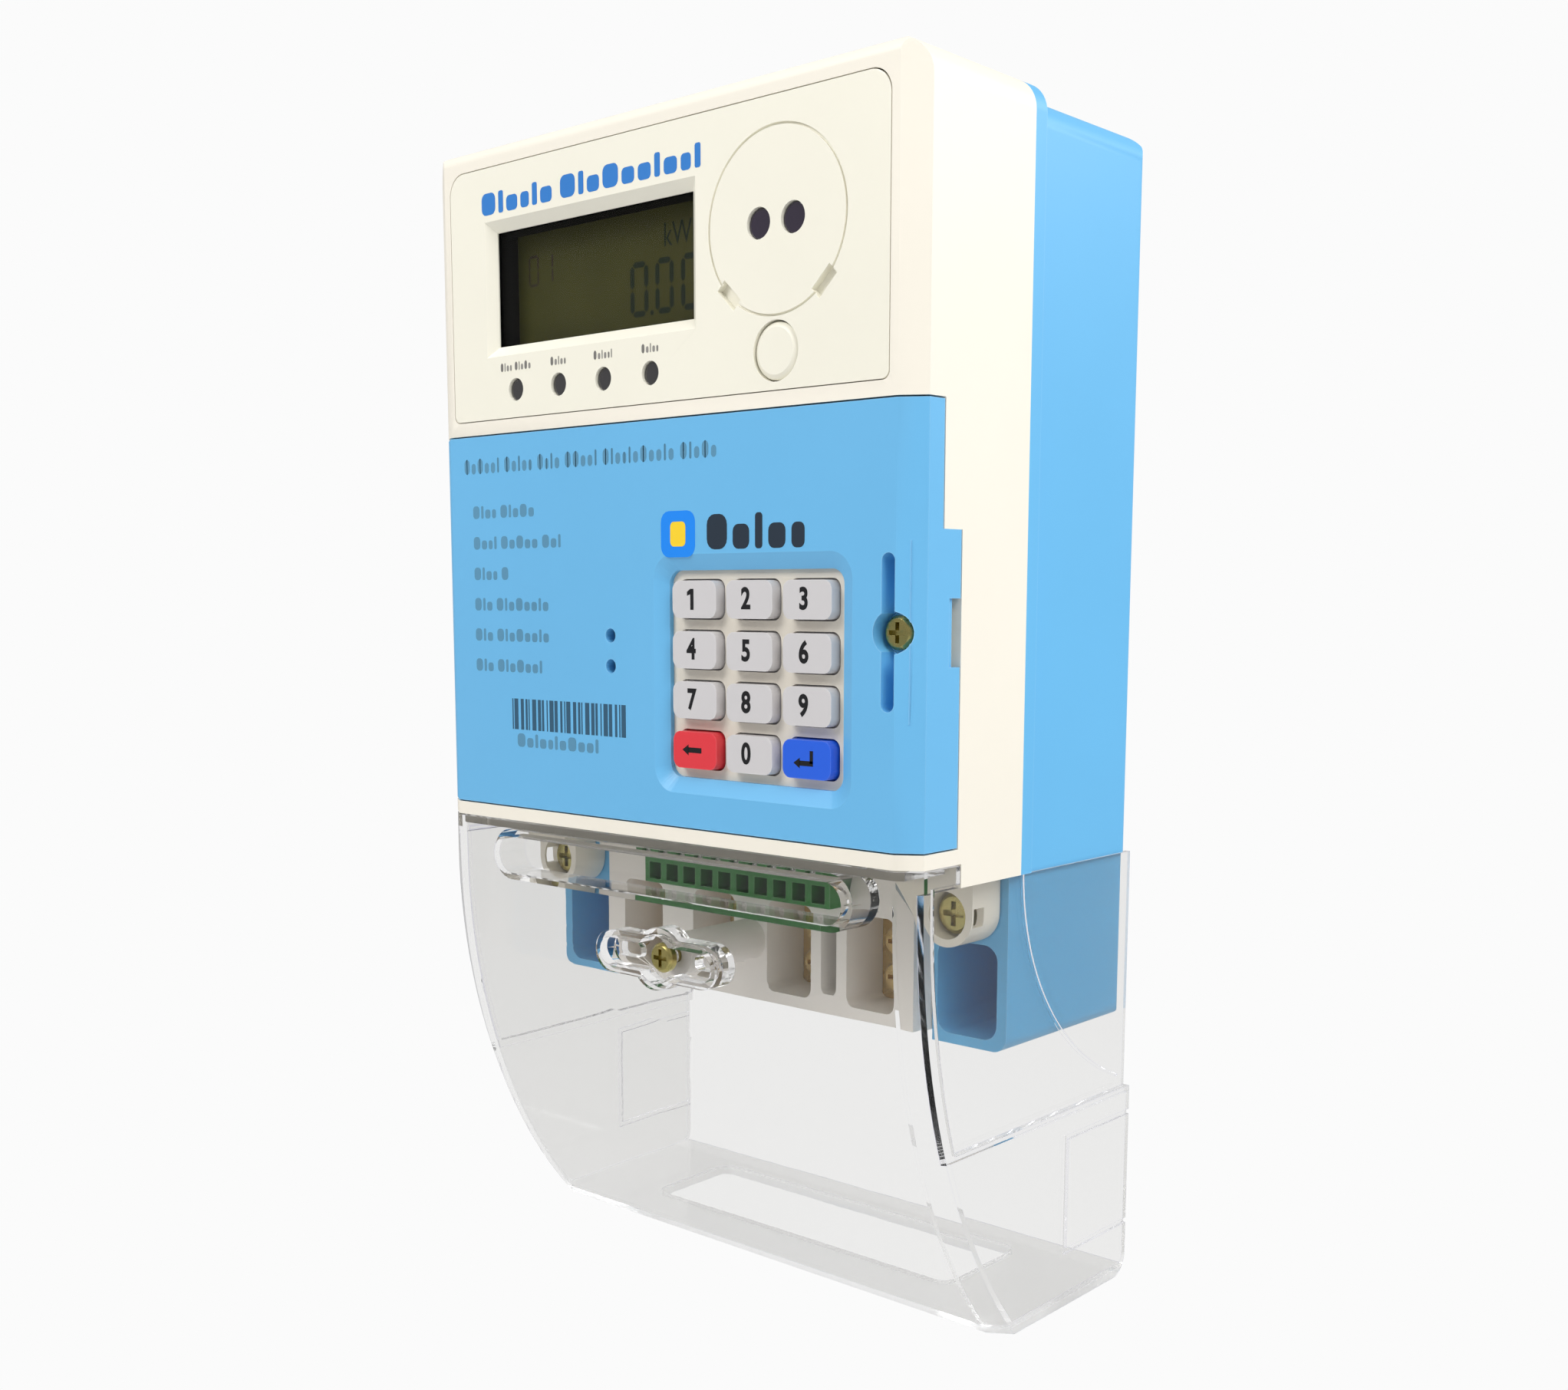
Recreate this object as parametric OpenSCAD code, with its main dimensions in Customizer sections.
// Prepaid electricity meter with a keypad, in its wall-mounting case.
// The origin is on the wall face, at the middle of the meter's width and height.
// +X is to the right seen from the front, +Y points into the wall, +Z is up.

/* [Overall] */
// Width across the side walls
body_w = 128; // [122:1:156]
// Depth from the wall face to the front face
body_d = 75; // [70:1:92]

/* [Front zones, from the foot up] */
// Height of the clear terminal cover at the front
cover_h = 94; // [90:0.5:114]
// Height of the white strip between the terminal cover and the keypad panel
strip_h = 2.7; // [1.5:0.1:6]
// Height of the blue keypad panel
panel_h = 77.3; // [70:0.1:96]
// Height of the display head above the keypad panel
head_h = 57; // [54:0.5:70]

/* [Shell] */
// Wall thickness of the front cover
wall = 2.2; // [1.8:0.1:3]
// Wall thickness of the rear case
case_wall = 2.4; // [1.8:0.1:3]
// Radius of the top corners, seen from the front
corner_r = 6; // [4:0.5:9]
// Width of the bevel down each front edge
bevel_w = 4.5; // [3:0.5:6]
// Depth of the bevel down each front edge
bevel_d = 3; // [2:0.5:4]
// Radius of the front top edge
edge_r = 2.5; // [1:0.5:4]
// Depth of the front cover, where it meets the rear case
split_d = 33; // [30:1:40]
// Depth of the raised step in the foot of the front cover
notch_d = 13.9; // [10:0.1:18]
// Height of the raised step in the foot of the front cover
notch_h = 4.3; // [3:0.1:8]
// How far the rear case stands in from the side of the front cover
case_inset = 1.8; // [1:0.1:3]
// Depth of the full-width rim of the rear case
rim_d = 3.5; // [2:0.5:6]
// Radius of the rear edges of the rear case
rear_r = 3; // [2:0.5:5]
// Clearance between pieces that come apart
gap = 0.3; // [0.2:0.05:0.5]

/* [Display head] */
// Frame width from the side of the meter to the faceplate
face_margin_x = 6.2; // [5.5:0.1:8]
// Frame width from the top of the meter to the faceplate
face_margin_top = 4.2; // [3:0.1:6]
// Frame width from the foot of the head to the faceplate
face_margin_foot = 2.7; // [2:0.1:5]
// Thickness of the faceplate
face_t = 2; // [1.6:0.1:2.4]
// Radius of the upper corners of the faceplate
face_top_r = 4.3; // [2:0.1:6]
// Radius of the lower corners of the faceplate
face_foot_r = 1.5; // [1:0.1:3]
// Width of the display opening
lcd_w = 55.6; // [45:0.2:58]
// Height of the display opening
lcd_h = 22.6; // [18:0.2:25]
// Distance of the display's centre from the middle of the meter
lcd_x = -16.9; // [-22:0.1:-14]
// Distance of the display's centre below the top of the meter
lcd_drop = 28.3; // [24:0.1:30]
// Width of the sloping frame round the display opening
lcd_bevel = 2.1; // [1:0.1:3]
// Depth of the display glass behind the front
lcd_depth = 7.2; // [5:0.1:8]
// Number of indicator lamps
lamp_count = 4; // [2:1:5]
// Distance between indicator lamps
lamp_pitch = 12.95; // [8:0.05:14]
// Radius of an indicator lamp's hole
lamp_r = 2.25; // [1.5:0.05:3]
// Place of the first lamp from the middle of the meter
lamp_x = -37.9; // [-42:0.1:-34]
// Height of the lamps above the foot of the head
lamp_rise = 8.4; // [7:0.1:10]
// Radius of the optical port's ring
port_r = 16; // [15:0.1:17]
// Distance between the two optical holes of the port
port_pitch = 8; // [6.5:0.1:9]
// Radius of an optical hole of the port
port_hole_r = 2.75; // [2.5:0.05:3]
// Distance of the port's centre from the middle of the meter
port_x = 32.4; // [30:0.1:38]
// Distance of the port's centre below the top of the meter
port_drop = 25.3; // [23:0.1:27]
// Radius of the push button
button_r = 5; // [4:0.1:5.4]
// Distance of the push button below the port's centre
button_drop = 22.1; // [22:0.1:24]

/* [Keypad] */
// Width of a key cap
key_w = 11.3; // [9:0.1:11.6]
// Height of a key cap
key_h = 7; // [5:0.1:7.2]
// Distance between key columns
key_pitch_x = 13.9; // [13:0.1:14.5]
// Distance between key rows
key_pitch_z = 9.45; // [8.6:0.05:10]
// Corner radius of a key cap
key_r = 1.8; // [0.8:0.1:2.5]
// Travel of a key
key_travel = 0.6; // [0.4:0.1:0.9]
// Clearance round a key in its frame
key_gap = 0.3; // [0.25:0.05:0.5]
// Distance of the keypad's centre from the middle of the meter
keypad_x = 25.7; // [20:0.1:26]
// Height of the keypad's centre above the foot of the panel
keypad_rise = 29.4; // [27:0.1:34]
// Margin of the keypad frame round the keys
keypad_margin = 1.9; // [1.5:0.1:2.4]
// Width of the sloping recess round the keypad
keypad_bevel = 3; // [2:0.1:3.4]

/* [Keypad panel] */
// Thickness of the keypad panel
panel_t = 2.5; // [2:0.1:3]
// Depth of the panel's side flange at its upper end
flange_d = 7.2; // [6:0.1:9]
// Depth of the panel's side flange at its tab
tab_d = 12.5; // [10:0.1:14]
// Height of the tab above the foot of the panel
tab_h = 55.5; // [45:0.5:65]
// Length of the sealing slot
slot_h = 27; // [20:0.5:34]
// Width of the sealing slot
slot_w = 2.8; // [2:0.1:3.4]
// Radius of the panel screw's counterbore
seal_hole_r = 3.75; // [3.4:0.05:4]
// Height of the panel screw above the foot of the panel
seal_rise = 38; // [34:0.5:44]
// Distance of the panel screw from the side of the meter
seal_inset = 5.6; // [5:0.1:7]

/* [Terminals] */
// Distance between the main terminals
term_pitch = 21.3; // [18:0.1:21.4]
// Radius of a cable entry in a terminal clamp
cable_r = 4.25; // [3:0.05:4.6]
// Width of a terminal clamp
clamp_w = 11.6; // [10:0.1:12]
// Radius of a clamp screw's shank
clamp_screw_r = 2.85; // [2:0.05:3]
// Height of the lower clamp screws above the foot of the block
clamp_rise = 7.6; // [7:0.1:9]
// Distance between the two screws of a clamp
clamp_screw_pitch = 7.5; // [7:0.1:8.5]
// Half width of the terminal block
block_half = 43.2; // [40:0.1:43.5]
// Height of the terminal block's foot above the meter's foot
block_foot = 57.2; // [56:0.1:60]
// Number of poles of the signal terminal
pole_count = 10; // [4:1:10]
// Distance between poles of the signal terminal
pole_pitch = 5.08; // [3.5:0.01:5.2]

/* [Wall fixing] */
// Radius of the two lower fixing holes
fix_r = 2.75; // [2:0.05:3.5]
// Half of the distance between the lower fixing holes
fix_half = 52.2; // [51:0.1:53]
// Height of the lower fixing holes above the meter's foot
fix_rise = 66; // [63:0.5:70]
// Radius of the hole in the hanging bracket
hang_r = 3; // [2:0.1:4]
// Distance of the hanging hole below the top of the meter
hang_drop = 14; // [12:0.5:18]

/* [Terminal cover] */
// Wall thickness of the cover's front and foot
cover_wall = 2.2; // [1.8:0.1:2.6]
// Wall thickness of the cover's sides
cover_side = 1.5; // [1.2:0.1:1.6]
// Height at which the cover's front begins to curve back
bulge_h = 86; // [80:1:88]
// Depth radius of the curved front
bulge_y = 92; // [80:1:100]
// Height radius of the curved front
bulge_z = 115; // [110:1:125]
// Height of the step line on the sides
step_h = 40.5; // [30:0.5:50]
// Depth of the side recess above the step line
step_d = 1.4; // [0.8:0.1:1.8]
// Length of the finger trough across the cover
trough_w = 96; // [80:1:100]
// Depth of the finger trough
trough_d = 8.5; // [5:0.5:9]
// Height of the cover screw above the meter's foot
lug_h = 69.8; // [66:0.1:72]

/* [Screws] */
// Radius of the cover and panel screw heads
head_r = 3; // [2.6:0.1:3.2]
// Radius of the case screw heads
case_head_r = 3.9; // [3.4:0.1:4.1]
// Shank radius of the cover, panel and case screws
shank_r = 1.5; // [1.2:0.05:1.7]
// Running clearance of a screw in its hole
screw_gap = 0.08; // [0.05:0.01:0.1]

/* [Hidden] */
$fn = 48;
KEY_NAMES = ["key_1", "key_2", "key_3", "key_4", "key_5", "key_6", "key_7", "key_8", "key_9",
    "key_back", "key_0", "key_enter"];
CLAMP_SCREW_NAMES = ["clamp_screw_1", "clamp_screw_2", "clamp_screw_3", "clamp_screw_4",
    "clamp_screw_5", "clamp_screw_6", "clamp_screw_7", "clamp_screw_8"];

// Cutting shapes run this far past a face
past = 1;

// Overall heights above the foot
panel_foot = cover_h + strip_h;
head_foot = panel_foot + panel_h;
body_h = head_foot + head_h;
shell_foot = cover_h - notch_h;
half_w = body_w / 2;
case_half = half_w - case_inset;

// Depths of the layers behind the front
key_front = 0.3;
frame_t = 1.2;
frame_back = panel_t + frame_t;
key_flange_t = 0.3;
key_stop = 0.1;
mat_front = frame_back + key_stop + key_flange_t + key_travel + gap;
mat_t = 0.4;
keypad_board_t = 0.6;
panel_floor = mat_front + mat_t + keypad_board_t + gap;
panel_floor_t = 2;
head_floor = face_t;
head_floor_t = 2.4;
board_d = 15.5;
board_t = 1.6;
well_front = split_d - 0.5;
chamber_t = 2.4;
chamber_foot = shell_foot - 0.3;
case_floor = body_d - case_wall;

// Faceplate outline and its openings
face_half = half_w - face_margin_x;
face_foot = head_foot + face_margin_foot;
face_top = body_h - face_margin_top;
lcd_z = body_h - lcd_drop;
port_z = body_h - port_drop;
button_z = port_z - button_drop;
lamp_z = head_foot + lamp_rise;
face_gap = 0.2;
lcd_wall = 2;
lcd_window_t = 0.8;
port_groove = 0.45;
port_groove_d = 0.5;
port_key = [5.5, 2.5];
port_key_angle = 46;
magnet_r = 14.6;
lens_front = 0.6;
button_flange = 0.9;

// Keypad layout
key_cols = 3;
key_rows = 4;
key_flange = 0.6;
frame_w = (key_cols - 1) * key_pitch_x + key_w + 2 * keypad_margin;
frame_h = (key_rows - 1) * key_pitch_z + key_h + 2 * keypad_margin;
frame_rim = 3;
recess_slope = 1.5;
keypad_z = panel_foot + keypad_rise;
seal_x = half_w - seal_inset;
seal_z = panel_foot + seal_rise;
seal_seat = 4;
pad_back = panel_floor - gap;
notch_rise = 32;
notch_len = 11.8;
notch_depth = 1.7;
notch_lead = 1.5;
notch_pocket = 1.3;
sound_x = -10.8;
sound_z = [panel_foot + 36.5, panel_foot + 30.5];
sound_r = 1.4;
plug_x = keypad_x;
plug_z = keypad_z - 13;

// Terminal block layout
block_front = 29.5;
block_back = case_floor;
block_top = chamber_foot - 0.4;
term_x = [for (i = [0:3]) (i - 1.5) * term_pitch];
clamp_front = 41;
clamp_back = 57;
clamp_foot = block_foot + 2.3;
clamp_top = clamp_foot + 19;
clamp_fit = 0.15;
cable_y = 50;
channel_w = clamp_w + 0.4;
screw_z = [block_foot + clamp_rise, block_foot + clamp_rise + clamp_screw_pitch];
bus_y = 53.5;
bus_t = 2;
bus_w = 8;
bus_fit = 0.2;
relay_foot = chamber_foot + chamber_t + 9;
signal_w = pole_count * pole_pitch + 1;
signal_front = 24;
signal_back = 44;
signal_foot = clamp_top + 1.3;
signal_top = block_top - 0.5;
post_r = 4.3;
post_front = 7.6;
post_bore = 14;
spare_x = term_pitch;
spare_w = 4;

// Wells of the rear case
well_out = case_half - 3.2;
well_in = block_half + 2;
well_foot = block_foot;
well_h = 18.3;
well_r = 3;

// Case screw bosses under the front cover
boss_r = 6;
boss_bore = 4.5;
boss_x = case_half - 8.7;
boss_z = shell_foot - 7.5;
boss_front = 23.3;
boss_seat = 28.4;
boss_back = well_front - gap;

// Terminal cover
cover_top = cover_h - gap;
cover_side_top = shell_foot - gap;
cover_rear_r = 4.5;
bulge_steps = 20;
trough_top = shell_foot + 0.6;
trough_foot = 82.3;
trough_t = 1.4;
lug_r = 6.2;
lug_ear = [33.5, 8.4];
lug_wall = 1.3;
lug_front = 0.4;
lug_floor = 4.3;
lug_back = 6.8;
lug_slot = [6.5, 3];
lug_slot_x = 10.8;
knock_t = 1;
knock_d = 0.5;
foot_open = [84, 24];
lining_t = step_d - 0.4;
recess_front = bevel_d + 3;
low_half = case_half - lining_t;
sweep_y = 35;
sweep_r = [62, 52];
sweep_w = 1.2;
sweep_d = 0.3;

// Hanging bracket
bracket = [22, 26];
bracket_t = 1.6;
pocket_d = 8;
hang_z = body_h - hang_drop;

// -------- helpers --------

// Moves the working frame (depth from the front, height from the foot) to the origin
module place() {
    translate([0, -body_d, -body_h / 2]) children();
}

// Extrudes a front view (x, z) from one depth to another
module along_y(front, back) {
    translate([0, back, 0]) rotate([90, 0, 0]) linear_extrude(back - front) children();
}

// Extrudes a side view (y, z) from one x to another
module along_x(left, right) {
    translate([left, 0, 0]) rotate([90, 0, 90]) linear_extrude(right - left) children();
}

// Extrudes a top view (x, y) from one height to another
module along_z(foot, top) {
    translate([0, 0, foot]) linear_extrude(top - foot) children();
}

// Round bar or bore along Y
module rod(x, z, front, back, r) {
    translate([x, front, z]) rotate([-90, 0, 0]) cylinder(h = back - front, r = r);
}

// Box given by its two corners
module block(low, high) {
    translate(low) cube(high - low);
}

// Rectangle with four round corners, centred
module rounded(w, h, r) {
    square([w - 2 * r, h], center = true);
    square([w, h - 2 * r], center = true);
    for (sx = [-1, 1])
        for (sy = [-1, 1])
            translate([sx * (w / 2 - r), sy * (h / 2 - r)]) circle(r = r);
}

// Rectangle from one height to another with its own upper and lower corner radii
module tall_outline(half, foot, top, top_r, foot_r) {
    translate([-half, foot + foot_r]) square([2 * half, top - foot - top_r - foot_r]);
    translate([-half + top_r, top - 2 * top_r]) square([2 * (half - top_r), 2 * top_r]);
    translate([-half + foot_r, foot]) square([2 * (half - foot_r), 2 * foot_r]);
    for (s = [-1, 1]) {
        translate([s * (half - top_r), top - top_r]) circle(r = top_r);
        translate([s * (half - foot_r), foot + foot_r]) circle(r = foot_r);
    }
}

// Outline with round top corners and a square foot
module arch_outline(half, foot, top, r) {
    translate([-half, foot]) square([2 * half, top - foot - r]);
    translate([-half + r, foot]) square([2 * (half - r), top - foot]);
    for (s = [-1, 1])
        translate([s * (half - r), top - r]) circle(r = r);
}

// Top view of the meter's front with its bevelled edges, thinned by a wall
module bevelled_outline(back, inset) {
    side = half_w - inset;
    polygon([
        [-side, bevel_d + inset],
        [-side + bevel_w, inset],
        [side - bevel_w, inset],
        [side, bevel_d + inset],
        [side, back],
        [-side, back]
    ]);
}

// Pan-head screw along Y with a cross recess; its head faces the front
module screw(x, z, front, r, head_t, shank, length) {
    recess_w = 0.28 * r;
    recess_l = 1.2 * r;
    recess_d = 0.6 * head_t;
    crown = 0.3 * head_t;
    difference() {
        union() {
            translate([x, front, z]) rotate([-90, 0, 0]) cylinder(h = crown, r1 = 0.82 * r, r2 = r);
            rod(x, z, front + crown, front + head_t, r);
            rod(x, z, front + head_t, front + length, shank);
        }
        for (turn = [0, 90])
            translate([x, front + recess_d / 2, z])
                rotate([0, turn, 0])
                    cube([recess_l, recess_d + 0.02, recess_w], center = true);
    }
}

// -------- case --------

module rear_case() {
    color("skyblue") place() difference() {
        union() {
            intersection() {
                along_y(split_d, body_d) arch_outline(case_half, chamber_foot, body_h - case_inset, corner_r);
                along_x(-half_w, half_w) rear_side_outline();
                along_z(0, body_h) rear_top_outline(split_d, case_half);
            }
            along_y(split_d, split_d + rim_d) arch_outline(half_w, shell_foot, body_h, corner_r);
            along_y(well_front, split_d)
                tall_outline(low_half, well_foot - 2, chamber_foot, 0.5, well_r);
            intersection() {
                along_y(split_d, body_d)
                    tall_outline(low_half, well_foot - 2, chamber_foot + chamber_t, 0.5, well_r);
                along_z(0, body_h) rear_top_outline(split_d, low_half);
            }
            hang_pocket(0);
        }
        along_y(split_d - past, case_floor)
            arch_outline(case_half - case_wall, chamber_foot + chamber_t, body_h - case_inset - case_wall,
                corner_r - case_wall);
        terminal_bay();
        for (s = [-1, 1]) {
            along_y(well_front - past, case_floor)
                translate([s * (well_in + well_out) / 2, well_foot + well_h / 2])
                    rounded(well_out - well_in, well_h, well_r);
            rod(s * fix_half, fix_rise, case_floor - past, body_d + past, fix_r);
            rod(s * boss_x, boss_z, well_front - past, well_front + 12, shank_r + screw_gap);
        }
        for (x = term_x)
            block([x - bus_w / 2 - bus_fit, bus_y - bus_fit, chamber_foot - past],
                [x + bus_w / 2 + bus_fit, bus_y + bus_t + bus_fit, chamber_foot + chamber_t + past]);
        hang_pocket(case_wall);
    }
}

// Side view of the rear case with its rounded upper rear edge
module rear_side_outline() {
    top = body_h - case_inset;
    r = rear_r + 1.5;
    translate([split_d, 0]) square([body_d - split_d, top - r]);
    translate([split_d, 0]) square([body_d - split_d - r, top]);
    translate([body_d - r, top - r]) circle(r = r);
}

// Top view of the rear case with its rounded rear edges
module rear_top_outline(front, half) {
    translate([-half, front]) square([2 * half, body_d - front - rear_r]);
    translate([-half + rear_r, front]) square([2 * (half - rear_r), body_d - front]);
    for (s = [-1, 1])
        translate([s * (half - rear_r), body_d - rear_r]) circle(r = rear_r);
}

// Open bay for the terminal block, with its cables leaving downwards
module terminal_bay() {
    block([-block_half - gap, well_front - past, well_foot - 2 - past],
        [block_half + gap, case_floor, chamber_foot]);
}

// Pocket behind the hanging bracket, or its housing inside the case
module hang_pocket(cut) {
    w = bracket[0] + (cut > 0 ? 0.4 : 5);
    h = bracket[1] + (cut > 0 ? 0.4 : 5);
    if (cut > 0) {
        along_y(body_d - bracket_t, body_d + past)
            translate([0, hang_z - 3]) square([w, h], center = true);
        along_y(body_d - pocket_d, body_d)
            translate([0, hang_z - 3]) square([bracket[0] - 5, bracket[1] - 5], center = true);
    } else {
        along_y(body_d - pocket_d - case_wall, body_d - 0.5)
            translate([0, hang_z - 3]) square([w, h], center = true);
    }
}

module hanging_bracket() {
    color("silver") place() difference() {
        along_y(body_d - bracket_t, body_d)
            translate([0, hang_z - 3]) rounded(bracket[0], bracket[1], 1);
        rod(0, hang_z, body_d - bracket_t - past, body_d + past, hang_r);
    }
}

module front_cover() {
    color("ivory") place() difference() {
        union() {
            difference() {
                intersection() {
                    along_z(shell_foot, body_h) bevelled_outline(split_d, 0);
                    along_y(0, split_d) arch_outline(half_w, shell_foot, body_h, corner_r);
                    along_x(-half_w, half_w) shell_side_outline();
                }
                shell_cavity();
            }
            for (s = [-1, 1]) {
                case_screw_boss(s);
                rod(s * (half_w - 11), panel_foot + 5, panel_floor, board_d, 3);
                rod(s * (half_w - 11), body_h - 10, head_floor, board_d, 3);
            }
            rod(seal_x, seal_z, panel_floor, board_d, 3.2);
        }
        panel_seat();
        head_openings();
        for (s = [-1, 1]) {
            rod(s * boss_x, boss_z, boss_front - past, boss_seat, boss_bore);
            rod(s * boss_x, boss_z, boss_seat - past, boss_back + past, shank_r + screw_gap);
            seal_window(s);
        }
        rod(seal_x, seal_z, panel_floor - past, board_d + past, shank_r + screw_gap);
    }
}

// Side view of the front cover: rounded upper edge, stepped foot
module shell_side_outline() {
    polygon([
        [0, cover_h],
        [notch_d, cover_h],
        [notch_d, shell_foot],
        [split_d, shell_foot],
        [split_d, body_h],
        [edge_r, body_h],
        [edge_r, body_h - edge_r],
        [0, body_h - edge_r]
    ]);
    translate([edge_r, body_h - edge_r]) circle(r = edge_r);
}

module shell_cavity() {
    narrow = half_w - 2 * wall - gap;
    inner_r = corner_r - wall;
    along_y(panel_floor + panel_floor_t, notch_d + wall)
        arch_outline(narrow, cover_h + wall, body_h - wall, inner_r);
    along_y(notch_d + wall - 0.01, split_d + past)
        arch_outline(half_w - wall, shell_foot + wall, body_h - wall, inner_r);
    along_y(head_floor + head_floor_t, panel_floor + panel_floor_t + 0.01)
        arch_outline(narrow, head_foot + 2 * wall, body_h - wall, inner_r);
}

module case_screw_boss(s) {
    rod(s * boss_x, boss_z, boss_front, boss_back, boss_r);
    block([s * boss_x - boss_r, boss_front, boss_z], [s * boss_x + boss_r, boss_back, shell_foot + wall / 2]);
}

// Window in the side of a boss for the seal wire
module seal_window(s) {
    side = s * (boss_x + boss_r - 1);
    block([side - 1.8, boss_seat - 4.6, boss_z - 1.8], [side + 1.8, boss_seat - 1.4, boss_z + 1.8]);
}

// Seat of the keypad panel in the front cover
module panel_seat() {
    seat_half = half_w - panel_t - gap;
    tab_top = panel_foot + tab_h;
    block([-half_w - past, -past, panel_foot], [half_w + past, panel_floor, head_foot]);
    for (s = [-1, 1]) {
        outer = half_w + past;
        x0 = min(s * seat_half, s * outer);
        x1 = max(s * seat_half, s * outer);
        block([x0, -past, panel_foot], [x1, flange_d + gap, head_foot]);
        block([x0, -past, panel_foot], [x1, tab_d + gap, tab_top]);
    }
    for (s = [-1, 1])
        block([s * seat_half - notch_pocket, tab_d - notch_depth, panel_foot + notch_rise],
            [s * seat_half + notch_pocket, tab_d + gap, panel_foot + notch_rise + notch_len]);
    for (z = sound_z)
        rod(sound_x, z, panel_floor - past, panel_floor + panel_floor_t + past, sound_r + 0.6);
    block([plug_x - 12, panel_floor - past, plug_z - 4], [plug_x + 12, 10, plug_z + 4]);
}

module head_openings() {
    floor_back = head_floor + head_floor_t + past;
    along_y(-past, head_floor) face_outline(0);
    along_y(head_floor - past, floor_back)
        translate([lcd_x, lcd_z]) square([lcd_w + 2 * lcd_wall + 0.4, lcd_h + 2 * lcd_wall + 0.4], center = true);
    for (i = [0 : lamp_count - 1])
        rod(lamp_x + i * lamp_pitch, lamp_z, head_floor - past, floor_back, lamp_r + 0.1);
    rod(port_x, port_z, head_floor - past, floor_back, magnet_r + 0.3);
    rod(port_x, button_z, head_floor - past, floor_back, button_r + button_flange + 0.3);
}

module face_outline(inset) {
    tall_outline(face_half - inset, face_foot + inset, face_top - inset, face_top_r, face_foot_r);
}

module faceplate() {
    color("floralwhite") place() difference() {
        along_y(0, face_t) face_outline(face_gap);
        hull() {
            along_y(-0.01, 0)
                translate([lcd_x, lcd_z]) square([lcd_w + 2 * lcd_bevel, lcd_h + 2 * lcd_bevel], center = true);
            along_y(face_t - 0.4, face_t - 0.3)
                translate([lcd_x, lcd_z]) square([lcd_w, lcd_h], center = true);
        }
        along_y(0, face_t + past)
            translate([lcd_x, lcd_z]) square([lcd_w, lcd_h], center = true);
        for (i = [0 : lamp_count - 1])
            rod(lamp_x + i * lamp_pitch, lamp_z, -past, face_t + past, lamp_r);
        for (s = [-1, 1])
            rod(port_x + s * port_pitch / 2, port_z, -past, face_t + past, port_hole_r);
        rod(port_x, button_z, -past, face_t + past, button_r + gap);
        difference() {
            rod(port_x, port_z, -past, port_groove_d, port_r + port_groove / 2);
            rod(port_x, port_z, -past, port_groove_d + past, port_r - port_groove / 2);
        }
        for (s = [-1, 1])
            translate([port_x, 0, port_z])
                rotate([0, s * (90 - port_key_angle) + 90, 0])
                    translate([port_r, 0.5, 0])
                        cube([port_key[1], 2, port_key[0]], center = true);
    }
}

module case_gasket() {
    color("dimgray") place() along_y(split_d - 1.2, split_d) difference() {
        arch_outline(half_w - wall - 0.2, shell_foot + wall + 0.2, body_h - wall - 0.2, corner_r - wall);
        arch_outline(half_w - wall - 1.9, shell_foot + wall + 1.9, body_h - wall - 1.9, corner_r - wall - 1);
    }
}

// -------- display head --------

module lcd_bezel() {
    color("black") place() along_y(head_floor + lcd_window_t, lcd_depth)
        translate([lcd_x, lcd_z]) difference() {
            square([lcd_w + 2 * lcd_wall, lcd_h + 2 * lcd_wall], center = true);
            square([lcd_w, lcd_h], center = true);
        }
}

module lcd_window() {
    color("lightgray") place() along_y(head_floor, head_floor + lcd_window_t)
        translate([lcd_x, lcd_z]) square([lcd_w + 2 * lcd_wall, lcd_h + 2 * lcd_wall], center = true);
}

module lcd_glass() {
    color("darkolivegreen") place() along_y(lcd_depth, lcd_depth + 2.4)
        translate([lcd_x, lcd_z]) square([lcd_w + 2 * lcd_wall, lcd_h + 2 * lcd_wall], center = true);
}

module led_lenses() {
    color("darkslategray") place()
        for (i = [0 : lamp_count - 1])
            rod(lamp_x + i * lamp_pitch, lamp_z, lens_front, board_d, lamp_r - 0.2);
}

module ir_diodes() {
    color("indigo") place()
        for (s = [-1, 1])
            rod(port_x + s * port_pitch / 2, port_z, lens_front, board_d, port_hole_r - 0.2);
}

module port_magnet_plate() {
    color("silver") place() difference() {
        rod(port_x, port_z, face_t, face_t + 1, magnet_r);
        rod(port_x, port_z, face_t - past, face_t + 2, port_pitch / 2 + port_hole_r + 1);
    }
}

module push_button() {
    stem_r = 2;
    color("white") place() {
        translate([port_x, 0, button_z]) rotate([-90, 0, 0]) cylinder(h = 0.6, r1 = button_r - 0.9, r2 = button_r);
        rod(port_x, button_z, 0.6, face_t + gap, button_r);
        rod(port_x, button_z, face_t + gap, face_t + 1.2, button_r + button_flange - 0.2);
        rod(port_x, button_z, face_t + 1.2, 9, stem_r);
    }
}

module button_switch() {
    color("dimgray") place() {
        block([port_x - 3, 11.5, button_z - 3], [port_x + 3, board_d, button_z + 3]);
        rod(port_x, button_z, 10.2, 11.5, 1.7);
    }
}

// -------- keypad --------

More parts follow.
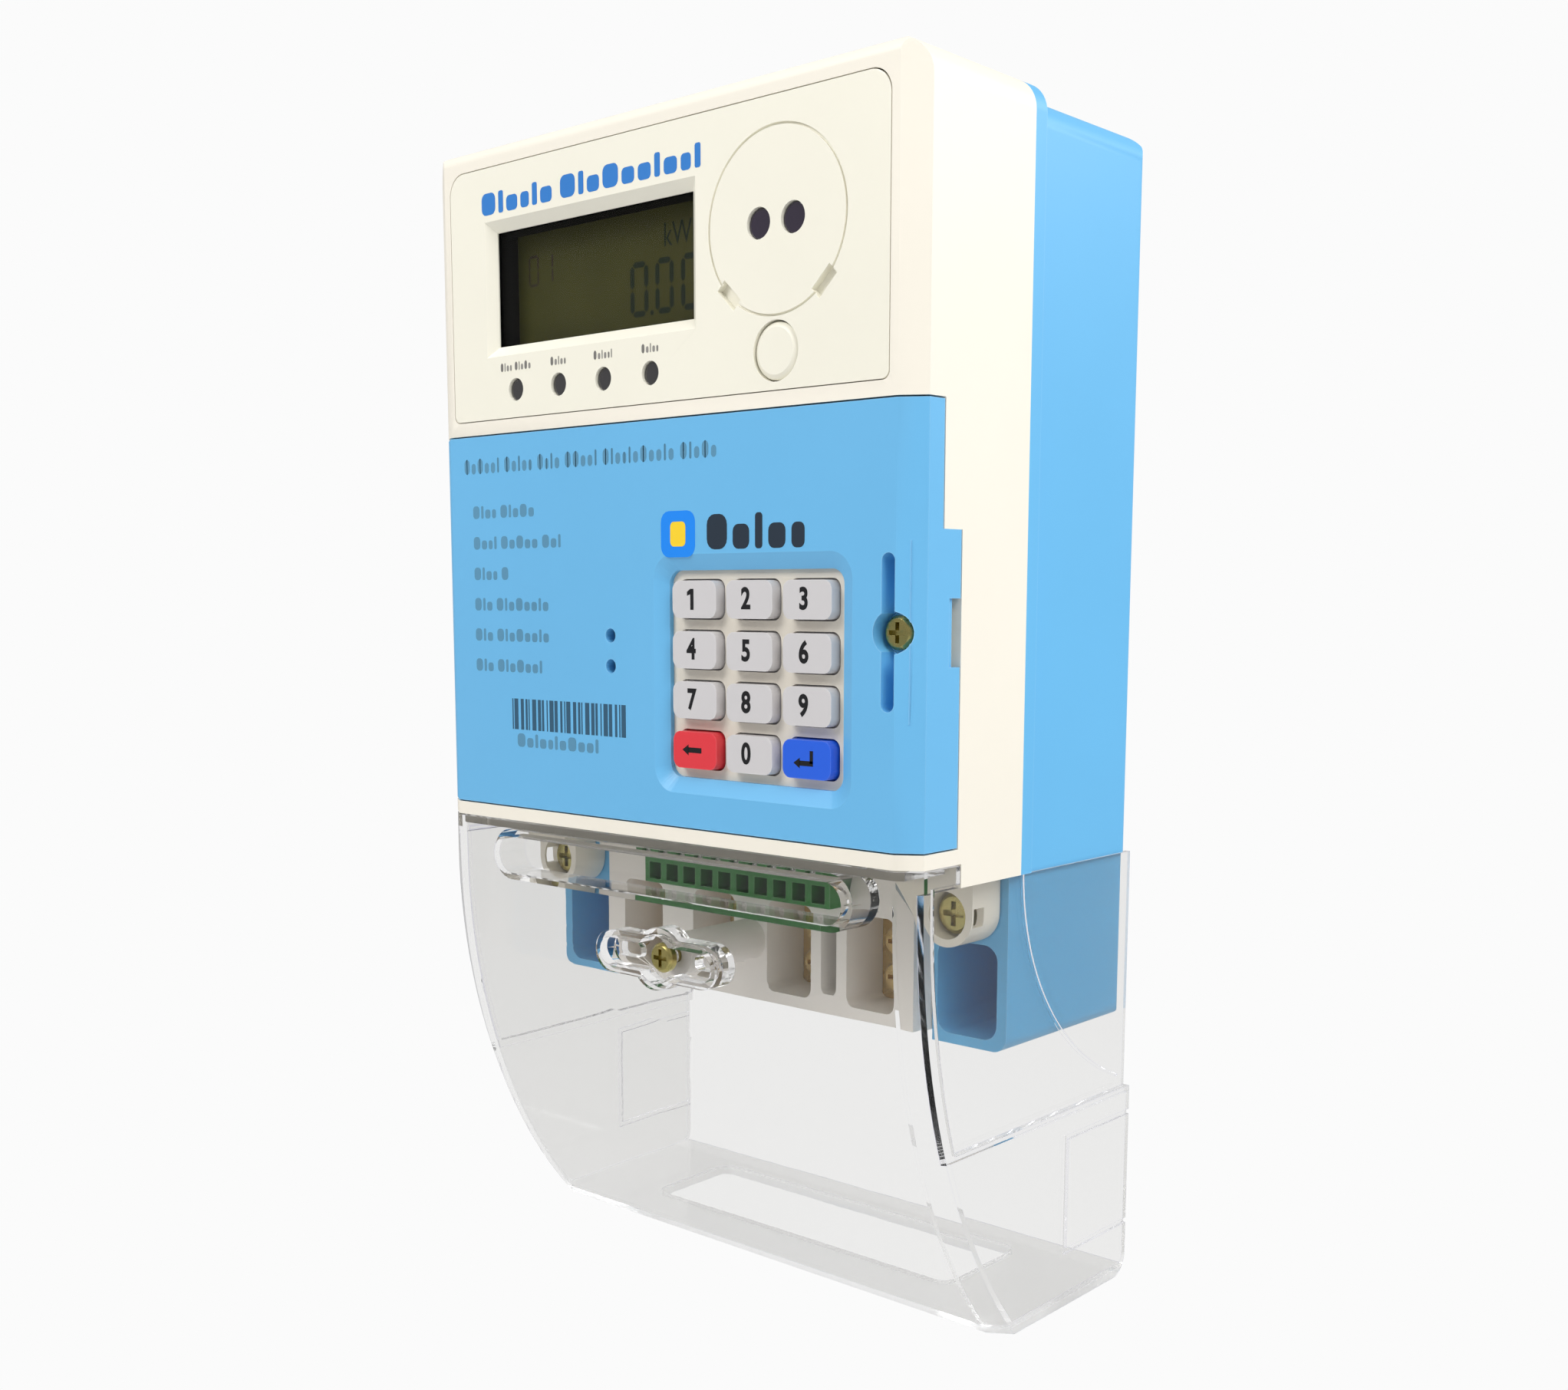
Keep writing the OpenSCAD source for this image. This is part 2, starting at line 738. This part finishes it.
module keypad_panel() {
    inner_half = half_w - panel_t;
    foot = panel_foot + gap;
    top = head_foot - gap;
    color("cornflowerblue") place() difference() {
        union() {
            difference() {
                along_z(foot, top) bevelled_outline(tab_d, 0);
                along_z(foot - past, top + past) bevelled_outline(tab_d + past, panel_t);
                for (s = [-1, 1])
                    block([-half_w - past, flange_d, panel_foot + tab_h], [half_w + past, tab_d + past, top + past]);
            }
            block([seal_x - 5.4, panel_t / 2, seal_z - slot_h / 2 - 2],
                [inner_half + 0.2, pad_back, seal_z + slot_h / 2 + 2]);
        }
        keypad_recess();
        along_y(-past, seal_seat - 0.4)
            translate([seal_x - 0.5, seal_z]) rounded(slot_w, slot_h, slot_w / 2 - 0.01);
        rod(seal_x, seal_z, -past, seal_seat, seal_hole_r);
        rod(seal_x, seal_z, seal_seat - past, pad_back + past, shank_r + screw_gap);
        for (z = sound_z)
            rod(sound_x, z, -past, panel_t + past, sound_r);
        for (s = [-1, 1]) {
            pry_notch(s * half_w, 3, tab_d - notch_depth);
            pry_notch(s * half_w, 0.6, tab_d - notch_depth - notch_lead);
        }
    }
}

// Notch for a screwdriver tip at the rear edge of a tab, cut to a depth from a face
module pry_notch(face, depth, front) {
    block([face - depth, front, panel_foot + notch_rise],
        [face + depth, tab_d + past, panel_foot + notch_rise + notch_len]);
}

// Sloping recess and opening for the keypad
module keypad_recess() {
    hull() {
        along_y(-0.02, -0.01)
            translate([keypad_x, keypad_z])
                rounded(frame_w + 2 * keypad_bevel, frame_h + 2 * keypad_bevel, 5);
        along_y(recess_slope, recess_slope + 0.01)
            translate([keypad_x, keypad_z]) rounded(frame_w, frame_h, 2.7);
    }
    along_y(0, panel_t + past)
        translate([keypad_x, keypad_z]) rounded(frame_w, frame_h, 2.7);
}

module key_grid() {
    for (col = [0 : key_cols - 1])
        for (row = [0 : key_rows - 1])
            translate([key_x(col), key_z(row)]) children();
}

function key_x(col) = keypad_x + (col - (key_cols - 1) / 2) * key_pitch_x;
function key_z(row) = keypad_z + ((key_rows - 1) / 2 - row) * key_pitch_z;

module keypad_frame() {
    outer_w = frame_w + 2 * frame_rim;
    outer_h = frame_h + 2 * frame_rim;
    color("antiquewhite") place() {
        difference() {
            along_y(panel_t, frame_back)
                translate([keypad_x, keypad_z]) rounded(outer_w, outer_h, 2.5);
            along_y(panel_t - past, frame_back + past)
                key_grid() rounded(key_w + 2 * key_gap, key_h + 2 * key_gap, key_r);
        }
        along_y(frame_back, mat_front)
            translate([keypad_x, keypad_z]) difference() {
                rounded(outer_w, outer_h, 2.5);
                rounded(outer_w - 2.4, outer_h - 2.4, 1.5);
            }
    }
}

module key_cap(index) {
    col = index % key_cols;
    row = floor(index / key_cols);
    tint = index == 9 ? "crimson" : index == 11 ? "royalblue" : "gainsboro";
    color(tint) place() {
        along_y(key_front, frame_back + key_stop)
            translate([key_x(col), key_z(row)]) rounded(key_w, key_h, key_r);
        along_y(frame_back + key_stop, frame_back + key_stop + key_flange_t)
            translate([key_x(col), key_z(row)])
                rounded(key_w + 2 * key_flange, key_h + 2 * key_flange, key_r);
    }
}

module keypad_mat() {
    color("dimgray") place() along_y(mat_front, mat_front + mat_t)
        translate([keypad_x, keypad_z]) rounded(frame_w + 2 * frame_rim, frame_h + 2 * frame_rim, 2.5);
}

module keypad_board() {
    color("darkgreen") place() along_y(mat_front + mat_t, mat_front + mat_t + keypad_board_t)
        translate([keypad_x, keypad_z]) rounded(frame_w + 2 * frame_rim, frame_h + 2 * frame_rim, 2.5);
}

module keypad_plug() {
    color("black") place()
        block([plug_x - 10, mat_front + mat_t + keypad_board_t, plug_z - 2], [plug_x + 10, 13, plug_z + 2]);
}

module keypad_socket() {
    color("whitesmoke") place() difference() {
        block([plug_x - 11.5, 10.4, plug_z - 3.5], [plug_x + 11.5, board_d, plug_z + 3.5]);
        block([plug_x - 10.3, 10, plug_z - 2.3], [plug_x + 10.3, 13.6, plug_z + 2.3]);
    }
}

module panel_screw() {
    color("goldenrod") place() screw(seal_x, seal_z, 2, head_r, 1.8, shank_r, 12);
}

// -------- terminal cover --------

// Depth of the cover's curved front at a height above the foot
function bulge(z) = z > bulge_h ? 0 : bulge_y * (1 - sqrt(1 - pow((bulge_h - z) / bulge_z, 2)));

// Side view of the cover: curved front, flat foot, straight rear
module cover_profile(set_back, foot, top, rear) {
    curve = [for (i = [0 : bulge_steps]) let (z = foot + (bulge_h - foot) * i / bulge_steps) [bulge(z) + set_back, z]];
    polygon(concat(curve, [[set_back, top], [rear, top], [rear, foot]]));
}

// Cover body with bevelled edges: narrow and forward, or wide and set back
module cover_body(inset_x, inset_y, foot, top, rear) {
    hull() {
        along_x(-half_w + bevel_w + inset_x / 2, half_w - bevel_w - inset_x / 2)
            cover_profile(inset_y, foot, top, rear);
        along_x(-half_w + inset_x, half_w - inset_x)
            cover_profile(bevel_d + inset_y, foot, top, rear);
    }
}

module terminal_cover() {
    color([0.85, 0.9, 0.95, 0.4]) place() difference() {
        union() {
            difference() {
                cover_body(0, 0, 0, cover_top, body_d);
                cover_body(cover_side, cover_wall, cover_wall, cover_top + 2 * past, body_d + 2 * past);
            }
            along_y(0.3, trough_d + trough_t) trough_outline(trough_t);
            along_y(lug_front, lug_back) translate([0, lug_h]) lug_outline(0);
            block([-half_w + 4, cover_wall, cover_top - 1.8], [half_w - 4, notch_d - gap, cover_top]);
            for (s = [-1, 1])
                side_lining(s);
        }
        block([-half_w - past, notch_d - gap, cover_side_top], [half_w + past, body_d + past, cover_h + past]);
        along_y(-past, trough_d) trough_outline(0);
        along_y(-past, lug_floor) translate([0, lug_h]) lug_outline(lug_wall);
        rod(0, lug_h, lug_floor - past, lug_back + past, shank_r + screw_gap);
        for (s = [-1, 1]) {
            along_y(lug_floor - past, lug_back + past)
                translate([s * lug_slot_x, lug_h]) rounded(lug_slot[0], lug_slot[1], 1.2);
            side_recess(s);
            side_sweep(s);
            side_knockout(s);
        }
        cable_opening();
        rear_foot_corner();
    }
}

// Finger trough: a bar with round ends under the cover's top edge
module trough_outline(grow) {
    h = trough_top - trough_foot + 2 * grow;
    translate([0, (trough_top + trough_foot) / 2]) rounded(trough_w + 2 * grow, h, h / 2 - 0.01);
}

// Sealing lug: a disc with an ear on each side, thinned by a wall
module lug_outline(inset) {
    h = lug_ear[1] - 2 * inset;
    circle(r = lug_r - inset);
    rounded(lug_ear[0] - 2 * inset, h, h / 2 - 0.01);
}

// Side view of the recessed part of the cover's side, grown at its front and foot
module recess_outline(grow, top) {
    foot = step_h - grow;
    front = [for (i = [0 : bulge_steps]) let (z = foot + (top - foot) * i / bulge_steps)
        [bulge(z) + recess_front - grow, z]];
    polygon(concat(front, [[body_d, top], [body_d, foot]]));
}

// Recess in the side above the step line, so that the side lies level with the case
module side_recess(s) {
    x0 = s > 0 ? half_w - step_d : -half_w - past;
    x1 = s > 0 ? half_w + past : -half_w + step_d;
    along_x(x0, x1) union() {
        recess_outline(0, cover_side_top + past);
        translate([body_d - past, step_h]) square([2 * past, cover_side_top + past - step_h]);
    }
}

// Thickening inside the side wall, behind the recess
module side_lining(s) {
    inner = half_w - cover_side;
    x0 = s > 0 ? inner - lining_t : -inner - 0.01;
    x1 = s > 0 ? inner + 0.01 : -inner + lining_t;
    along_x(x0, x1) recess_outline(cover_side, cover_side_top);
}

// Shallow curved groove in the side, from the top edge to the rear end of the step line
module side_sweep(s) {
    floor_x = half_w - step_d - sweep_d;
    x0 = s > 0 ? floor_x : -half_w;
    x1 = s > 0 ? half_w : -floor_x;
    top = cover_side_top + past;
    foot = step_h + 2.5;
    line = [for (i = [0 : bulge_steps]) let (z = foot + (top - foot) * i / bulge_steps)
        [sweep_y + sweep_r[0] * (1 - sqrt(1 - pow((top - z) / sweep_r[1], 2))), z]];
    along_x(x0, x1) intersection() {
        polygon(concat(line, [for (i = [bulge_steps : -1 : 0]) line[i] + [sweep_w, 0]]));
        square([body_d + past, cover_h]);
    }
}

// Outline of a knock-out in the side, for a side cable entry
module side_knockout(s) {
    x0 = s > 0 ? half_w - knock_d : -half_w - past;
    x1 = s > 0 ? half_w + past : -half_w + knock_d;
    along_x(x0, x1) difference() {
        translate([51, 11]) square([body_d - 51 + past, 24.5]);
        translate([51 + knock_t, 11 + knock_t]) square([body_d - 51 + past, 24.5 - 2 * knock_t]);
    }
}

// Opening in the foot, for the cables from below
module cable_opening() {
    along_z(-past, cover_wall + past)
        translate([0, cable_y + foot_open[1] / 2 - cable_r - 3]) rounded(foot_open[0], foot_open[1], 3);
}

// Rounds the lower rear edge of the cover
module rear_foot_corner() {
    along_x(-half_w - past, half_w + past) difference() {
        translate([body_d - cover_rear_r, -past]) square([cover_rear_r + past, cover_rear_r + past]);
        translate([body_d - cover_rear_r, cover_rear_r]) circle(r = cover_rear_r);
    }
}

module cover_screw() {
    color("goldenrod") place() screw(0, lug_h, lug_floor - gap - 1.8, head_r, 1.8, shank_r, 16);
}

// -------- terminals --------

module terminal_block() {
    color("gainsboro") place() difference() {
        union() {
            block([-block_half, block_front, block_foot], [block_half, block_back, block_top]);
            rod(0, lug_h, post_front, block_front + 1, post_r);
        }
        for (x = term_x) {
            block([x - clamp_w / 2 - clamp_fit, clamp_front - clamp_fit, clamp_foot - clamp_fit],
                [x + clamp_w / 2 + clamp_fit, clamp_back, clamp_top + clamp_fit]);
            along_y(block_front - past, clamp_front)
                translate([x, (clamp_foot + clamp_top) / 2]) rounded(channel_w, clamp_top - clamp_foot, 2);
            translate([x, cable_y, block_foot - past]) cylinder(h = 4, r = cable_r + 0.5);
            block([x - bus_w / 2 - bus_fit, bus_y - bus_fit, clamp_top - past],
                [x + bus_w / 2 + bus_fit, bus_y + bus_t + bus_fit, block_top + past]);
        }
        along_y(block_front - past, clamp_front + 2)
            translate([spare_x, (clamp_foot + clamp_top) / 2]) rounded(spare_w, clamp_top - clamp_foot - 3, 1.5);
        block([-signal_w / 2 - gap, block_front - past, signal_foot],
            [signal_w / 2 + gap, signal_back + 0.1, block_top + past]);
        rod(0, lug_h, post_front - past, post_front + post_bore, shank_r + screw_gap);
    }
}

module terminal_clamps() {
    color("darkgoldenrod") place()
        for (x = term_x)
            difference() {
                block([x - clamp_w / 2, clamp_front, clamp_foot], [x + clamp_w / 2, clamp_back, clamp_top]);
                translate([x, cable_y, clamp_foot - past])
                    cylinder(h = clamp_top - clamp_foot - 1, r = cable_r);
                for (z = screw_z)
                    rod(x, z, clamp_front - past, cable_y, clamp_screw_r + screw_gap);
            }
}

// Clamp screws are numbered along the row, the lower screw of each clamp first
module clamp_screw(index) {
    x = term_x[floor(index / 2)];
    z = screw_z[index % 2];
    color("goldenrod") place() screw(x, z, clamp_front - 3.3, clamp_screw_r + 0.35, 3, clamp_screw_r, 7.5);
}

module signal_terminal() {
    color("forestgreen") place() difference() {
        block([-signal_w / 2, signal_front, signal_foot], [signal_w / 2, signal_back, signal_top]);
        for (i = [0 : pole_count - 1]) {
            x = (i - (pole_count - 1) / 2) * pole_pitch;
            block([x - 1.7, signal_front - past, signal_foot + 0.8], [x + 1.7, signal_front + 7, signal_foot + 4.4]);
            rod(x, signal_top - 1.7, signal_front - past, signal_front + 6, 1.35);
        }
    }
}

module signal_screws() {
    color("silver") place()
        for (i = [0 : pole_count - 1])
            screw((i - (pole_count - 1) / 2) * pole_pitch, signal_top - 1.7, signal_front + 1, 1.25, 0.8, 0.9, 5);
}

module case_screw(s) {
    color("goldenrod") place() screw(s * boss_x, boss_z, boss_seat - 2.6, case_head_r, 2.3, shank_r, 14);
}

// -------- electronics --------

module main_board() {
    color("darkgreen") place()
        block([-half_w + 8, board_d, panel_foot + 1.5], [half_w - 8, board_d + board_t, body_h - 5]);
}

module line_busbars() {
    color("peru") place() {
        bus_leg(term_x[0], clamp_top, shunt_foot());
        bus_leg(term_x[0], shunt_foot() + 5, relay_foot);
        bus_leg(term_x[1], clamp_top, relay_foot);
    }
}

function shunt_foot() = chamber_foot + chamber_t + 1;

module bus_leg(x, foot, top) {
    block([x - bus_w / 2, bus_y, foot], [x + bus_w / 2, bus_y + bus_t, top]);
}

module shunt() {
    color("slategray") place() bus_leg(term_x[0], shunt_foot(), shunt_foot() + 5);
}

module neutral_busbar() {
    top = relay_foot + 18;
    color("peru") place() {
        bus_leg(term_x[2], clamp_top, top);
        bus_leg(term_x[3], clamp_top, top);
        block([term_x[2] - bus_w / 2, bus_y, top - 8], [term_x[3] + bus_w / 2, bus_y + bus_t, top]);
    }
}

module relay() {
    color("royalblue") place()
        block([term_x[0] - 6, 44, relay_foot], [term_x[1] + 6, case_floor, relay_foot + 26]);
}

module current_transformer() {
    color("black") place()
        translate([term_x[2], bus_y + bus_t / 2, chamber_foot + chamber_t])
            rotate_extrude()
                translate([8.2, 4.5]) rounded(5.4, 9, 1.5);
}

module power_transformer() {
    back = board_d + board_t;
    color("khaki") place() {
        block([-45, back, panel_foot + 44], [-15, back + 5, panel_foot + 74]);
        block([-42, back + 5, panel_foot + 46], [-18, back + 22, panel_foot + 72]);
    }
}

module capacitors() {
    back = board_d + board_t;
    color("midnightblue") place()
        for (x = [6, 24])
            rod(x, panel_foot + 58, back, back + 25, 7.5);
}

module backup_battery() {
    color("darkorange") place()
        translate([-8, board_d + board_t + 7, body_h - 24]) rotate([0, 90, 0]) cylinder(h = 48, r = 7);
}

module buzzer() {
    mid = (sound_z[0] + sound_z[1]) / 2;
    color("black") place() difference() {
        rod(sound_x, mid, 8.6, board_d, 6.2);
        rod(sound_x, mid, 8, 10.4, 1.2);
    }
}

module modem_module() {
    back = board_d + board_t;
    color("silver") place() block([-50, back, body_h - 42], [-22, back + 3.2, body_h - 14]);
}

module processor() {
    color("black") place() block([-8, board_d - 1.6, panel_foot + 58], [6, board_d, panel_foot + 72]);
}

// -------- nodes --------

rear_case();
front_cover();
faceplate();
lcd_window();
lcd_bezel();
lcd_glass();
led_lenses();
ir_diodes();
port_magnet_plate();
push_button();
button_switch();
keypad_panel();
keypad_frame();
for (i = [0 : len(KEY_NAMES) - 1])
    key_cap(i);
keypad_mat();
keypad_board();
keypad_plug();
keypad_socket();
panel_screw();
terminal_cover();
cover_screw();
terminal_block();
terminal_clamps();
for (i = [0 : len(CLAMP_SCREW_NAMES) - 1])
    clamp_screw(i);
signal_terminal();
signal_screws();
case_screw(-1);  // case_screw_left
case_screw(1);  // case_screw_right
main_board();
relay();
shunt();
line_busbars();
neutral_busbar();
current_transformer();
power_transformer();
capacitors();
backup_battery();
buzzer();
modem_module();
processor();
case_gasket();
hanging_bracket();
